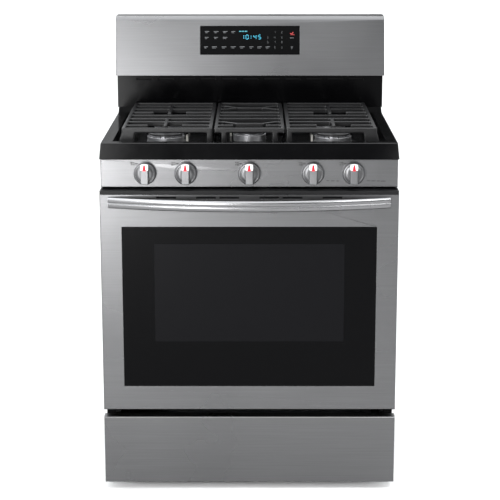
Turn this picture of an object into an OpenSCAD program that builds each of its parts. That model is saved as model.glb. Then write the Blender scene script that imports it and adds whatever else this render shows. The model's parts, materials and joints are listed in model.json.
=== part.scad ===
// Freestanding gas range: five sealed burners, a gas oven with two racks and a
// convection fan, and a storage drawer under the oven.
// Millimetres. +X is to the right seen from the front, the front faces -Y, +Z is up.
// The origin is on the floor, under the middle of the overall box.

/* [Overall] */
// Width over the cooktop, the door and the drawer front
range_w = 757; // [750:1:765]
// Height from the floor to the top of the backguard
range_h = 1189; // [1180:1:1200]
// Depth from the handle's front to the rear panel
range_d = 728; // [722:1:734]
// How far the handle stands in front of the door
handle_proud = 60; // [54:1:64]

/* [Drawer] */
// Height of the drawer front's lower edge over the floor
drawer_z = 20; // [16:1:24]
// Height of the drawer front
drawer_h = 180; // [170:1:184]
// Depth of the drawer front's folded edge
drawer_fold = 31; // [26:1:34]
// Depth of the drawer box behind its front
drawer_box_d = 486; // [400:1:490]

/* [Door] */
// Height of the door's lower edge over the floor
door_z = 220; // [214:1:224]
// Height of the door
door_h = 579; // [570:1:580]
// Thickness of the door
door_t = 50; // [48:1:50]
// Width of the door glass
window_w = 648; // [600:1:660]
// Height of the door glass
window_h = 423; // [380:1:430]
// Height of the door glass's lower edge over the floor
window_z = 284; // [276:1:290]
// Length of the handle
handle_w = 714; // [690:1:720]
// Height of the handle bar
handle_h = 29; // [24:1:32]
// Height of the handle's middle over the floor
handle_z = 770; // [760:1:774]

/* [Oven] */
// Width of the cavity
cavity_w = 600; // [560:1:604]
// Height of the cavity
cavity_h = 490; // [460:1:496]
// Depth of the cavity behind the front frame
cavity_d = 482; // [440:1:486]
// Height of the cavity floor
cavity_z = 262; // [258:1:266]
// Number of rack levels
rack_levels = 6; // [4:1:6]
// Distance between two rack levels
rack_pitch = 75; // [70:1:76]
// Level that holds the lower rack, counted from 0
lower_level = 1; // [0:1:1]
// Level that holds the upper rack, counted from 0
upper_level = 3; // [3:1:4]

/* [Controls] */
// Height of the control panel's lower edge over the floor
panel_z = 803; // [801:1:806]
// Height of the control panel
panel_h = 75; // [72:1:75]
// Distance from the middle knob to the inner pair
knob_inner_x = 161; // [150:1:170]
// Distance from the middle knob to the outer pair
knob_outer_x = 264; // [250:1:290]
// Radius of a knob's skirt
knob_r = 28.5; // [26:0.5:29]
// Width of a knob's grip bar
grip_w = 18.6; // [14:0.2:20]
// How far a knob's grip stands in front of the panel
knob_proud = 32; // [28:1:34]

/* [Cooktop] */
// Height of the cooktop's rim over the floor
rim_z = 918; // [914:1:920]
// Height of the sunk pan over the floor
pan_z = 895; // [892:1:898]
// Height of the grates' top over the floor
grate_z = 947; // [944:1:950]
// Width of a grate bar
bar_w = 9; // [7:0.5:11]
// Height of a grate bar
bar_h = 13; // [10:1:15]
// Distance from the middle to the outer burners
burner_x = 218; // [205:1:225]

/* [Backguard] */
// Height of the stainless panel's lower edge over the floor
guard_z = 1026; // [1015:1:1035]
// How far the stainless panel leans back over its height
guard_lean = 36; // [30:1:40]
// Width of the touch panel
touch_w = 280; // [240:1:300]
// Height of the touch panel along the slope
touch_h = 81; // [70:1:90]

/* [Hidden] */
$fn = 48;

// Planes that the whole range is laid out from
rear_y = range_d / 2;
back_y = rear_y - 2;
door_y = -range_d / 2 + handle_proud;
door_back_y = door_y + door_t;
door_top = door_z + door_h;
frame_y = door_back_y + 6;
half_w = range_w / 2;
side_x = half_w - 2.5;
sheet = 1.2;
drawer_top = drawer_z + drawer_h;
deck_z = 204;
deck_t = 2;

// Control panel
panel_y = door_y + 28;
panel_top = panel_z + panel_h;
panel_x = half_w - 1.5;
panel_fold = 24;
knob_z = panel_z + 37;
knob_xs = [-knob_outer_x, -knob_inner_x, 0, knob_inner_x, knob_outer_x];
knob_front_y = panel_y - knob_proud;
knob_back_y = panel_y - 4.6;
stem_r = 4;
stem_gap = 0.05;
valve_front_y = panel_y + 26;
valve_d = 36;
pipe_x = 354;
pipe_y = 300;
pipe_r = 8;
inlet_x = 135;
inlet_z = 120;

// Cooktop
lip_y = door_y + 12;
rim_y = door_y + 25;
rim_x = half_w - 3.5;
pan_x = half_w - 32;
pan_y0 = rim_y + 25;
pan_y1 = door_y + 556;
top_back_y = rear_y - 23;
top_t = 2;
riser_y = door_y + 565;
ledge_z = 932;
front_burner_y = door_y + 172;
rear_burner_y = door_y + 400;
oval_y0 = door_y + 165;
oval_y1 = door_y + 390;
oval_w = 86;
// Each round burner: x, y, radius of its head
burners = [[-burner_x, front_burner_y, 48], [burner_x, front_burner_y, 48],
           [-burner_x, rear_burner_y, 43], [burner_x, rear_burner_y, 43]];

// Grates: rows of bars, measured from the door's front plane
row_front = door_y + 86;
row_rear = door_y + 546;
row_short_front = door_y + 138;
row_2 = door_y + 196;
row_3 = door_y + 255;
row_4 = door_y + 313;
row_short_rear = door_y + 370;
row_6 = door_y + 429;
row_7 = door_y + 487;
finger_gap = 44;
side_grate_x0 = 95;
side_grate_x1 = 326;
mid_grate_x = 90;
foot_h = 4;

// Oven
cavity_x = cavity_w / 2;
cavity_top = cavity_z + cavity_h;
cavity_y0 = frame_y + 2;
cavity_y1 = cavity_y0 + cavity_d;
liner_t = 1.5;
wool_t = 34;
wool_y1 = cavity_y1 + 24;
fan_z = cavity_z + 243;
fan_r = 105;
lamp_x = -215;
lamp_z = cavity_z + 393;
rack_y0 = door_y + 96;
rack_y1 = cavity_y1 - 40;
rack_x = cavity_x - 16;
rack_rod_r = 3;
shelf_r = 2.5;
rack_z0 = cavity_z + 38;

// Door hinge
pivot_y = door_y + 14;
pivot_z = door_z + 15;
hinge_x = 306;
pin_r = 4;

// Backguard
guard_y = door_y + 530;
guard_back_y = top_back_y;
guard_slope = atan(guard_lean / (range_h - guard_z));
touch_up = 104;
guard_return = 34;

// ---------- shared shapes ----------

// A box between two corners
module block(x0, x1, y0, y1, z0, z1) {
    translate([x0, y0, z0]) cube([x1 - x0, y1 - y0, z1 - z0]);
}

module rod_x(x0, x1, y, z, r) {
    translate([x0, y, z]) rotate([0, 90, 0]) cylinder(h = x1 - x0, r = r);
}

module rod_y(y0, y1, x, z, r) {
    translate([x, y1, z]) rotate([90, 0, 0]) cylinder(h = y1 - y0, r = r);
}

module rod_z(z0, z1, x, y, r) {
    translate([x, y, z0]) cylinder(h = z1 - z0, r = r);
}

// The shape and its mirror image across the middle plane
module both_sides() {
    children();
    mirror([1, 0, 0]) children();
}

// A profile drawn as [y, z] points, run along X
module run_x(x0, x1, points) {
    translate([x0, 0, 0]) rotate([90, 0, 90]) linear_extrude(x1 - x0) polygon(points);
}

// A profile drawn as [x, z] points, run along Y
module run_y(y0, y1, points) {
    translate([0, y1, 0]) rotate([90, 0, 0]) linear_extrude(y1 - y0) polygon(points);
}

// An oval of given width and length, in plan
module oval(w, y0, y1) {
    hull_r = w / 2;
    translate([0, y0 + hull_r]) circle(r = hull_r);
    translate([0, y1 - hull_r]) circle(r = hull_r);
    translate([-hull_r, y0 + hull_r]) square([w, y1 - y0 - w]);
}

// ---------- chassis ----------

module base_frame() {
    color("dimgray") {
        both_sides() difference() {
            block(344, side_x - sheet, -236, 352, 22, 52);
            block(343, side_x - sheet - 2, -237, 353, 24, 50);
            for (y = [-205, 325]) rod_z(20, 30, 358, y, 5.05);
        }
        both_sides() for (y = [-244, 330]) block(354, side_x - sheet, y, y + 22, 52, deck_z);
        difference() {
            block(-side_x + sheet, side_x - sheet, -244, rear_y - 4, deck_z, deck_z + deck_t);
            rod_z(deck_z - 1, deck_z + deck_t + 1, pipe_x, pipe_y, pipe_r + 1);
        }
        block(-344, 344, 348, 350, 22, 52);
    }
}

module levelling_feet() {
    color("black") both_sides() for (y = [-205, 325]) {
        rod_z(0, 8, 358, y, 17);
        rod_z(8, 13, 358, y, 10);
        rod_z(13, 44, 358, y, 5);
    }
}

module side_panel() {
    difference() {
        block(side_x - sheet, side_x, frame_y + 2, back_y - sheet, 26, panel_top);
        for (z = [330 : 14 : 414]) block(side_x - 3, side_x + 1, 200, 300, z, z + 5);
    }
}

module left_side_panel() {
    color("dimgray") mirror([1, 0, 0]) side_panel();
}

module right_side_panel() {
    color("dimgray") side_panel();
}

// The inlet recess is cut out of the lower right of the rear panel, seen from the front
module rear_panel() {
    color("silver") difference() {
        union() {
            block(-side_x, side_x, back_y - sheet, back_y, 30, panel_top);
            block(-side_x + sheet, side_x - sheet, guard_back_y + 1.5, back_y - sheet,
                panel_top - sheet, panel_top);
        }
        block(60, 210, back_y - 3, back_y + 1, 20, 190);
        for (x = [-240 : 60 : 240]) for (z = [300, 320, 780]) {
            block(x - 20, x + 20, back_y - 3, back_y + 1, z, z + 6);
        }
    }
}

module front_frame() {
    color("black") difference() {
        block(-side_x + 0.5, side_x - 0.5, frame_y, frame_y + 2, deck_z + deck_t, panel_z - 3);
        block(-cavity_x, cavity_x, frame_y - 1, frame_y + 3, cavity_z, cavity_top);
        for (x = [-1, 1]) {
            block(x * hinge_x - 5, x * hinge_x + 5, frame_y - 1, frame_y + 3, pivot_z - 11, pivot_z + 11);
        }
    }
}

// ---------- oven ----------

module oven_liner() {
    x = cavity_x + liner_t;
    color("midnightblue") difference() {
        block(-x, x, cavity_y0, cavity_y1 + liner_t, cavity_z - liner_t, cavity_top + liner_t);
        block(-cavity_x, cavity_x, cavity_y0 - 1, cavity_y1, cavity_z, cavity_top);
        block(-255, 255, cavity_y0 + 56, cavity_y1 - 56, cavity_z - 3, cavity_z + 1);
        rod_y(cavity_y1 - 1, cavity_y1 + 3, 0, fan_z, 9);
        rod_y(cavity_y1 - 1, cavity_y1 + 3, lamp_x, lamp_z, 26);
        rod_y(cavity_y1 - 1, cavity_y1 + 3, 0, cavity_top - 30, 12);
    }
}

module insulation() {
    x0 = cavity_x + liner_t + 0.5;
    x1 = x0 + wool_t;
    z0 = cavity_z - 4;
    z1 = cavity_top + liner_t + 0.5;
    color("khaki") {
        both_sides() block(x0, x1, cavity_y0 + 4, cavity_y1, z0, z1);
        block(-x1, x1, cavity_y0 + 4, cavity_y1, z1, z1 + wool_t);
        difference() {
            block(-x1, x1, cavity_y1 + liner_t + 0.5, wool_y1, z0, z1 + wool_t);
            rod_y(cavity_y1, wool_y1 + 1, 0, fan_z, 14);
            rod_y(cavity_y1, wool_y1 + 1, lamp_x, lamp_z, 34);
            rod_y(cavity_y1, wool_y1 + 1, 0, cavity_top - 30, 12.5);
        }
    }
}

module oven_floor() {
    y0 = cavity_y0 + 30;
    y1 = cavity_y1 - 30;
    color("midnightblue") difference() {
        block(-286, 286, y0, y1, cavity_z, cavity_z + 6);
        block(-284.5, 284.5, y0 + 1.5, y1 - 1.5, cavity_z + 1.5, cavity_z + 7);
        for (x = [-240, 240]) for (y = [y0 + 40 : 34 : y1 - 50]) {
            block(x - 7, x + 7, y, y + 20, cavity_z - 1, cavity_z + 3);
        }
    }
}

// The straight burner tube with its row of ports and the flame spreader welded over it
module bake_burner() {
    y0 = cavity_y0 + 60;
    y1 = cavity_y1 - 60;
    z = cavity_z - 30;
    color("lightsteelblue") {
        difference() {
            rod_y(y0, cavity_y1 + 20, 0, z, 12);
            rod_y(y0 + 2, cavity_y1 + 21, 0, z, 10.6);
            for (y = [y0 + 16 : 24 : y1 - 10]) block(-14, 14, y, y + 5, z + 1, z + 4);
        }
        block(-60, 60, y0, y1, z + 14, z + 15.5);
        both_sides() block(58.5, 60, y0, y1, z + 6, z + 14);
        for (y = [y0 + 6, y1 - 30]) {
            block(-3, 3, y, y + 8, z + 11.2, z + 14);
            block(-12, 12, y, y + 8, deck_z + deck_t, z - 11);
        }
    }
}

module broil_burner() {
    z = cavity_top - 30;
    y0 = cavity_y0 + 110;
    y1 = cavity_y1 - 120;
    color("lightsteelblue") {
        difference() {
            union() {
                block(-85, 85, y0, y1, z - 10, z + 8);
                block(-95, 95, y0 - 8, y0 + 4, z + 6, z + 8);
                block(-95, 95, y1 - 4, y1 + 8, z + 6, z + 8);
                both_sides() for (y = [y0 - 6, y1 - 2]) block(80, 88, y, y + 8, z + 8, cavity_top);
            }
            block(-80, 80, y0 + 5, y1 - 5, z - 11, z - 7);
            for (x = [-70 : 20 : 70]) block(x - 4, x + 4, y0 + 12, y1 - 12, z - 8, z - 3);
        }
        rod_y(y1, wool_y1 + 12, 0, z, 11);
    }
}

// A wire ladder on each wall of the cavity
module rack_guides() {
    wire_x = cavity_x - 15;
    post_x = cavity_x - 4;
    color("silver") both_sides() {
        for (y = [-150, 165]) {
            rod_z(rack_z0 - 12, rack_z0 + (rack_levels - 1) * rack_pitch + 14, post_x, y, 2.5);
            for (z = [rack_z0 - 6, rack_z0 + (rack_levels - 1) * rack_pitch + 8]) {
                rod_x(post_x, cavity_x, y, z, 4);
            }
        }
        for (i = [0 : rack_levels - 1]) {
            z = rack_z0 + i * rack_pitch;
            rod_y(-215, 215, wire_x, z, shelf_r);
            for (y = [-150, 165]) rod_x(wire_x, post_x, y, z, shelf_r);
        }
    }
}

// A wire rack: two side wires, four cross wires, long wires on top and a raised rear rail
module rack(level) {
    r = rack_rod_r;
    z = rack_z0 + level * rack_pitch + shelf_r + r + 0.3;
    rail_x = rack_x - 20;
    color("silver") {
        both_sides() rod_y(rack_y0 - 3, rack_y1 + 3, rack_x, z, r);
        for (y = [rack_y0, rack_y0 + 130, rack_y0 + 290, rack_y1]) {
            rod_x(-rack_x, rack_x, y, z, r - 0.4);
        }
        for (x = [-264 : 24 : 264]) rod_y(rack_y0 - 1, rack_y1 + 1, x, z + r, 1.6);
        rod_x(-rail_x - 3, rail_x + 3, rack_y1, z + 16, r - 0.4);
        both_sides() rod_z(z, z + 16, rail_x, rack_y1, r - 0.8);
    }
}

module oven_rack_upper() {
    rack(upper_level);
}

module oven_rack_lower() {
    rack(lower_level);
}

module lamp_lens() {
    color("white") translate([lamp_x, cavity_y1, lamp_z]) rotate([90, 0, 0]) rotate_extrude()
        polygon([[0, 20], [12, 19], [20, 14], [24, 6], [24, 3], [33, 3], [33, 0], [22, 0],
                 [22, 5], [18, 12], [11, 17], [0, 18]]);
}

module oven_lamp() {
    color("ivory") {
        rod_y(cavity_y1 + 2.5, wool_y1 + 26, lamp_x, lamp_z, 24);
        rod_y(cavity_y1 - 6, cavity_y1 + 3, lamp_x, lamp_z, 9);
        translate([lamp_x, cavity_y1 - 6, lamp_z]) sphere(r = 9);
    }
}

module fan_cover() {
    y0 = cavity_y1 - 30;
    color("silver") difference() {
        rod_y(y0, cavity_y1, 0, fan_z, fan_r);
        rod_y(y0 + 1.5, cavity_y1 + 1, 0, fan_z, fan_r - 1.5);
        for (ring = [1 : 4]) for (i = [0 : ring * 6 - 1]) {
            translate([0, 0, fan_z]) rotate([0, i * 60 / ring, 0])
                rod_y(y0 - 1, y0 + 3, ring * 20, 0, 5);
        }
        for (i = [0 : 23]) {
            translate([0, 0, fan_z]) rotate([0, i * 15, 0])
                block(fan_r - 4, fan_r + 4, y0 + 10, y0 + 22, -5, 5);
        }
    }
}

module fan_blade() {
    y = cavity_y1 - 20;
    color("silver") {
        rod_y(y, y + 14, 0, fan_z, 12);
        rod_y(y + 11, y + 12.5, 0, fan_z, 88);
        for (i = [0 : 7]) {
            translate([0, 0, fan_z]) rotate([0, i * 45, 0]) translate([50, y + 4, 0])
                cube([70, 16, 1.6], center = true);
        }
        rod_y(y + 8, wool_y1 + 8, 0, fan_z, stem_r);
    }
}

module fan_motor() {
    color("gray") difference() {
        union() {
            block(-60, 60, wool_y1 + 0.5, wool_y1 + 2, fan_z - 30, fan_z + 30);
            rod_y(wool_y1 + 2, wool_y1 + 44, 0, fan_z, 34);
            block(-24, 24, wool_y1 + 8, wool_y1 + 36, fan_z - 48, fan_z + 48);
        }
        rod_y(wool_y1 - 1, wool_y1 + 10, 0, fan_z, stem_r + stem_gap);
    }
}

// Rope seal around the cavity's mouth
module door_gasket() {
    r = 2.7;
    x = cavity_x + 14;
    y = frame_y - r;
    z0 = cavity_z - 12;
    z1 = cavity_top + 14;
    color("darkslategray") {
        for (s = [-1, 1]) rod_z(z0, z1, s * x, y, r);
        for (z = [z0, z1]) rod_x(-x, x, y, z, r);
        for (s = [-1, 1]) for (z = [z0, z1]) translate([s * x, y, z]) sphere(r = r);
    }
}

// ---------- controls and gas ----------

module control_panel() {
    back = panel_y + panel_fold;
    color("lightgray") difference() {
        run_x(-panel_x, panel_x, [[panel_y, panel_z + 2], [panel_y + 2, panel_z], [back, panel_z],
            [back, panel_top], [panel_y + 3, panel_top], [panel_y, panel_top - 3]]);
        run_x(-panel_x + sheet, panel_x - sheet, [[panel_y + sheet, panel_z + 2.4],
            [panel_y + 2.4, panel_z + sheet], [back + 1, panel_z + sheet],
            [back + 1, panel_top - sheet], [panel_y + 3.4, panel_top - sheet],
            [panel_y + sheet, panel_top - 3.4]]);
        for (x = knob_xs) rod_y(panel_y - 1, panel_y + 3, x, knob_z, 7);
    }
}

// Square manifold behind the valves, and the pipe that feeds it from the regulator
module gas_manifold() {
    y = valve_front_y + valve_d;
    color("gray") {
        difference() {
            block(-330, 362, y, y + 22, knob_z - 11, knob_z + 11);
            block(-328, 360, y + 2, y + 20, knob_z - 9, knob_z + 9);
        }
        rod_y(y + 22, pipe_y, pipe_x, knob_z, pipe_r);
        rod_z(inlet_z, knob_z, pipe_x, pipe_y, pipe_r);
        translate([pipe_x, pipe_y, knob_z]) sphere(r = pipe_r);
        translate([pipe_x, pipe_y, inlet_z]) sphere(r = pipe_r);
        rod_x(inlet_x + 31, pipe_x, pipe_y, inlet_z, pipe_r);
    }
}

module gas_valves() {
    color("goldenrod") for (x = knob_xs) difference() {
        union() {
            block(x - 13, x + 13, valve_front_y + 6, valve_front_y + valve_d, knob_z - 15, knob_z + 15);
            rod_y(valve_front_y, valve_front_y + 6, x, knob_z, 9);
        }
        rod_y(valve_front_y - 1, valve_front_y + 24, x, knob_z, stem_r + stem_gap);
    }
}

// Pressure regulator with the male inlet that the house's supply screws on to
module gas_regulator() {
    z = inlet_z;
    color("silver") {
        block(inlet_x - 31, inlet_x + 31, pipe_y - 16, pipe_y + 16, z - 16, z + 16);
        rod_z(z + 16, z + 34, inlet_x, pipe_y, 24);
        rod_y(pipe_y + 16, pipe_y + 22, inlet_x, z, 15);
        rod_y(pipe_y + 22, pipe_y + 44, inlet_x, z, 10.5);
    }
}

module knob_bezels() {
    color("dimgray") for (x = knob_xs) difference() {
        rod_y(panel_y - 2, panel_y, x, knob_z, knob_r + 0.8);
        rod_y(panel_y - 3, panel_y + 1, x, knob_z, 20);
    }
}

module valve_stem(i) {
    color("gray") {
        rod_y(knob_back_y - 14, valve_front_y + 20, knob_xs[i], knob_z, stem_r);
        rod_y(valve_front_y - 5, valve_front_y - 3, knob_xs[i], knob_z, 6.5);
    }
}

// Knob: a low round skirt with a straight grip bar across it, and a hub on the stem
module knob(i) {
    x = knob_xs[i];
    skirt_y = knob_front_y + 13;
    color("silver") difference() {
        union() {
            difference() {
                union() {
                    rod_y(skirt_y, knob_back_y, x, knob_z, knob_r);
                    intersection() {
                        rod_y(knob_front_y, skirt_y + 1, x, knob_z, knob_r - 1);
                        block(x - grip_w / 2, x + grip_w / 2, knob_front_y, skirt_y + 1,
                            knob_z - knob_r, knob_z + knob_r);
                    }
                }
                rod_y(knob_back_y - 8, knob_back_y + 1, x, knob_z, knob_r - 3);
            }
            rod_y(knob_back_y - 9, knob_back_y, x, knob_z, 9);
        }
        rod_y(knob_back_y - 15, knob_back_y + 1, x, knob_z, stem_r + stem_gap);
    }
}

// ---------- cooktop ----------

module cooktop() {
    front = [[lip_y, panel_top], [rim_y - 3, rim_z - 1], [rim_y, rim_z], [riser_y - 7, rim_z],
             [riser_y - 3, ledge_z], [top_back_y, ledge_z], [top_back_y, panel_top]];
    side = [[-half_w, panel_top], [-rim_x, rim_z - 1], [-rim_x + 2, rim_z + 20],
            [rim_x - 2, rim_z + 20], [rim_x, rim_z - 1], [half_w, panel_top]];
    color("black") difference() {
        intersection() {
            run_x(-half_w, half_w, front);
            run_y(lip_y - 1, top_back_y + 1, side);
        }
        // the sunk pan
        block(-pan_x, pan_x, pan_y0, pan_y1, pan_z, rim_z + 30);
        // hollow under the pan
        block(-pan_x, pan_x, pan_y0, pan_y1, panel_top - 1, pan_z - top_t);
        // hollow under the rims and the rear ledge
        for (s = [-1, 1]) {
            block(s > 0 ? pan_x + top_t : -rim_x + 1, s > 0 ? rim_x - 1 : -pan_x - top_t,
                rim_y + 1, pan_y1, panel_top - 1, rim_z - top_t - 1);
        }
        block(-rim_x + 1, rim_x - 1, rim_y + 1, pan_y0 - top_t, panel_top - 1, rim_z - top_t - 1);
        block(-rim_x + 1, rim_x - 1, pan_y1 + top_t, top_back_y - top_t, panel_top - 1,
            rim_z - top_t - 1);
        for (b = burners) rod_z(pan_z - 5, pan_z + 1, b[0], b[1], 26);
        translate([0, 0, pan_z - 5]) linear_extrude(8) oval(54, oval_y0 + 16, oval_y1 - 16);
    }
}

module burner_heads() {
    ring_top = rim_z - 5;
    color("silver") {
        for (b = burners) difference() {
            union() {
                rod_z(pan_z, ring_top, b[0], b[1], b[2]);
                rod_z(ring_top, ring_top + 4.5, b[0], b[1], b[2] - 8);
                rod_z(pan_z - 20, pan_z, b[0], b[1], 22);
            }
            rod_z(pan_z - 21, ring_top - 3, b[0], b[1], 16);
            for (i = [0 : 19]) {
                translate([b[0], b[1], ring_top + 2.2]) rotate([0, 0, i * 18])
                    block(b[2] - 16, b[2] - 7, -1.5, 1.5, -1.8, 3);
            }
        }
        difference() {
            union() {
                translate([0, 0, pan_z]) linear_extrude(ring_top - pan_z)
                    oval(oval_w, oval_y0, oval_y1);
                translate([0, 0, ring_top]) linear_extrude(4.5)
                    oval(oval_w - 16, oval_y0 + 8, oval_y1 - 8);
                translate([0, 0, pan_z - 20]) linear_extrude(20)
                    oval(46, oval_y0 + 20, oval_y1 - 20);
            }
            translate([0, 0, pan_z - 21]) linear_extrude(ring_top - pan_z + 18)
                oval(36, oval_y0 + 26, oval_y1 - 26);
        }
    }
}

module burner_caps() {
    z0 = rim_z - 0.5;
    color("dimgray") {
        for (b = burners) {
            rod_z(z0, z0 + 5, b[0], b[1], b[2] - 2.5);
            rod_z(z0 + 5, z0 + 7, b[0], b[1], b[2] - 6);
        }
        translate([0, 0, z0]) linear_extrude(5) oval(oval_w - 4, oval_y0 + 2, oval_y1 - 2);
        translate([0, 0, z0 + 5]) linear_extrude(2) oval(oval_w - 12, oval_y0 + 6, oval_y1 - 6);
    }
}

module igniters() {
    color("white") {
        for (b = burners) {
            s = b[0] < 0 ? 1 : -1;
            rod_z(pan_z - 18, pan_z + 20, b[0] + s * (b[2] + 7), b[1], 3);
        }
        rod_z(pan_z - 18, pan_z + 20, -oval_w / 2 - 7, (oval_y0 + oval_y1) / 2, 3);
    }
}

// Aluminium tubes from the valves to the burners, in the space under the pan
module burner_tubes() {
    z = pan_z - 24;
    y = valve_front_y + valve_d - 6;
    r = 3;
    routes = [[-knob_outer_x, -burner_x, front_burner_y], [-knob_inner_x, -burner_x, rear_burner_y],
              [0, 0, oval_y0 + 30],
              [knob_outer_x, burner_x, front_burner_y], [knob_inner_x, burner_x, rear_burner_y]];
    color("gainsboro") for (t = routes) {
        rod_z(knob_z + 15, z, t[0], y, r);
        rod_y(y, t[2], t[0], z, r);
        translate([t[0], y, z]) sphere(r = r);
        translate([t[0], t[2], z]) sphere(r = r);
        if (t[1] != t[0]) rod_x(min(t[0], t[1]), max(t[0], t[1]), t[2], z, r);
    }
}

// ---------- grates ----------

// A bar along X on row y, and a bar along Y
module bar_x(x0, x1, y, h = bar_h) {
    block(x0, x1, y - bar_w / 2, y + bar_w / 2, grate_z - h, grate_z);
}

module bar_y(y0, y1, x, h = bar_h) {
    block(x - bar_w / 2, x + bar_w / 2, y0, y1, grate_z - h, grate_z);
}

module grate_foot(x0, x1, y0, y1) {
    block(x0, x1, y0, y1, pan_z + foot_h, grate_z - bar_h + 1);
    block(x0 + 2, x1 - 2, y0 + 2, y1 - 2, pan_z + 0.3, pan_z + foot_h);
}

// The outer corner leg spreads outwards as it goes down
module flared_leg(y0, y1) {
    x = side_grate_x1;
    run_y(y0, y1, [[x - 34, grate_z - bar_h + 1], [x, grate_z - bar_h + 1], [x + 12, pan_z + 0.3],
                   [x - 28, pan_z + 0.3]]);
}

// The side grate, drawn on the right
module side_grate() {
    x0 = side_grate_x0;
    x1 = side_grate_x1;
    b = bar_w / 2;
    color("black") {
        for (y = [row_front, row_rear]) bar_x(x0, x1, y);
        for (x = [x0 + b, x1 - b]) bar_y(row_front - b, row_rear + b, x);
        for (y = [row_2, row_3, row_4, row_6, row_7]) bar_x(x0 + b, x1 - b, y);
        for (y = [row_short_front, row_short_rear]) {
            bar_x(x0 + b, burner_x - finger_gap, y);
            bar_x(burner_x + finger_gap, x1 - b, y);
        }
        bar_y(row_short_front - 10, row_3, burner_x);
        bar_y(row_short_rear - 20, row_7, burner_x);
        flared_leg(row_front - b, row_front + b);
        flared_leg(row_rear - b, row_rear + b);
        for (y = [row_front, row_rear]) grate_foot(x0, x0 + 14, y - b, y + b);
        grate_foot(x1 - bar_w, x1, row_4 - 8, row_4 + 8);
        grate_foot(x0, x0 + bar_w, row_4 - 8, row_4 + 8);
    }
}

module grate_right() {
    side_grate();
}

module grate_left() {
    mirror([1, 0, 0]) side_grate();
}

// A bar along X that bends by dy at its middle
module bent_bar(x1, y, dy) {
    knee = x1 * 0.42;
    both_sides() {
        translate([0, 0, grate_z - bar_h]) linear_extrude(bar_h) polygon([
            [-1, y + dy - bar_w / 2], [knee, y + dy - bar_w / 2], [x1 * 0.8, y - bar_w / 2],
            [x1, y - bar_w / 2], [x1, y + bar_w / 2], [x1 * 0.8, y + bar_w / 2],
            [knee, y + dy + bar_w / 2], [-1, y + dy + bar_w / 2]]);
    }
}

module grate_centre() {
    x1 = mid_grate_x;
    b = bar_w / 2;
    meet = (row_6 + row_7) / 2;
    color("black") {
        for (y = [row_front, row_rear]) bar_x(-x1, x1, y);
        both_sides() bar_y(row_front - b, row_rear + b, x1 - b);
        for (y = [row_3, row_4, row_short_rear]) bar_x(-x1 + b, x1 - b, y);
        bent_bar(x1 - b, row_2, -28);
        bent_bar(x1 - b, row_6, meet - row_6 - 4);
        bent_bar(x1 - b, row_7, meet - row_7 + 4);
        both_sides() bar_x(42, x1 - b, row_short_front);
        both_sides() for (y = [row_front, row_rear]) grate_foot(x1 - 32, x1 - 18, y - b, y + b);
        both_sides() grate_foot(x1 - bar_w, x1, row_4 - 8, row_4 + 8);
    }
}

// ---------- backguard ----------

// Front face, rolled top edge and top of the backguard, as [y, z]
// The outline set in by the wall t runs past the open back and bottom, to cut them open
function guard_outline(t) = let(past = t > 0 ? 1 : 0) [
    [guard_y + t, guard_z + t],
    [guard_y + guard_lean - 2 + t, range_h - 9],
    [guard_y + guard_lean + 2 + t, range_h - 3 - t * 0.6],
    [guard_y + guard_lean + 9 + t, range_h - t],
    [guard_back_y + past, range_h - t],
    [guard_back_y + past, guard_z - past],
    [guard_y + t + past * guard_return, guard_z - past]];

module backguard_panel() {
    t = 1.5;
    color("lightgray") difference() {
        run_x(-half_w, half_w, guard_outline(0));
        run_x(-half_w + t, half_w - t, guard_outline(t));
        touch_cut(0.2, -2, 6);
    }
}

// A block on the sloping face where the touch panel sits
module touch_cut(grow, d0, d1) {
    translate([0, guard_y + guard_lean * touch_up / (range_h - guard_z), guard_z + touch_up - 7])
        rotate([-guard_slope, 0, 0])
        block(-touch_w / 2 - grow, touch_w / 2 + grow, d0, d1,
            -touch_h / 2 - grow, touch_h / 2 + grow);
}

module touch_glass() {
    color("black") touch_cut(0, 0.2, 3.2);
}

module control_board() {
    color("green") {
        touch_cut(-12, 12, 13.6);
        for (x = [-110, -50, 50, 110]) translate([x, 0, 0]) touch_post();
    }
}

module touch_post() {
    translate([0, guard_y + guard_lean * touch_up / (range_h - guard_z), guard_z + touch_up - 7])
        rotate([-guard_slope, 0, 0]) block(-4, 4, 3.2, 12, -4, 4);
}

module backguard_riser() {
    t = 1.5;
    x1 = half_w - 2;
    color("black") {
        difference() {
            block(-x1, x1, riser_y, riser_y + t, ledge_z, guard_z);
            for (x = [-300 : 60 : 300]) {
                block(x - 22, x + 22, riser_y - 1, riser_y + 3, guard_z - 16, guard_z - 10);
            }
        }
        both_sides() block(x1 - t, x1, riser_y + t, guard_back_y, ledge_z, guard_z);
    }
}

module backguard_rear_cover() {
    color("silver") difference() {
        block(-half_w, half_w, guard_back_y, guard_back_y + 1.5, panel_top, range_h);
        for (x = [-260 : 40 : 260]) for (z = [960, 975, 990]) {
            block(x - 14, x + 14, guard_back_y - 1, guard_back_y + 3, z, z + 5);
        }
    }
}

// ---------- drawer ----------

module drawer_rails() {
    color("silver") both_sides() difference() {
        block(341, 354, -240, 280, 96, 124);
        block(340, 352, -241, 281, 98, 122);
    }
}

module drawer_front() {
    y1 = door_y + drawer_fold;
    color("lightgray") difference() {
        run_x(-half_w, half_w, [[door_y, drawer_z + 2], [door_y + 2, drawer_z], [y1, drawer_z],
            [y1, drawer_top], [door_y + 2, drawer_top], [door_y, drawer_top - 2]]);
        block(-half_w + sheet, half_w - sheet, door_y + sheet, y1 + 1,
            drawer_z + sheet, drawer_top - sheet);
    }
}

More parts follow.
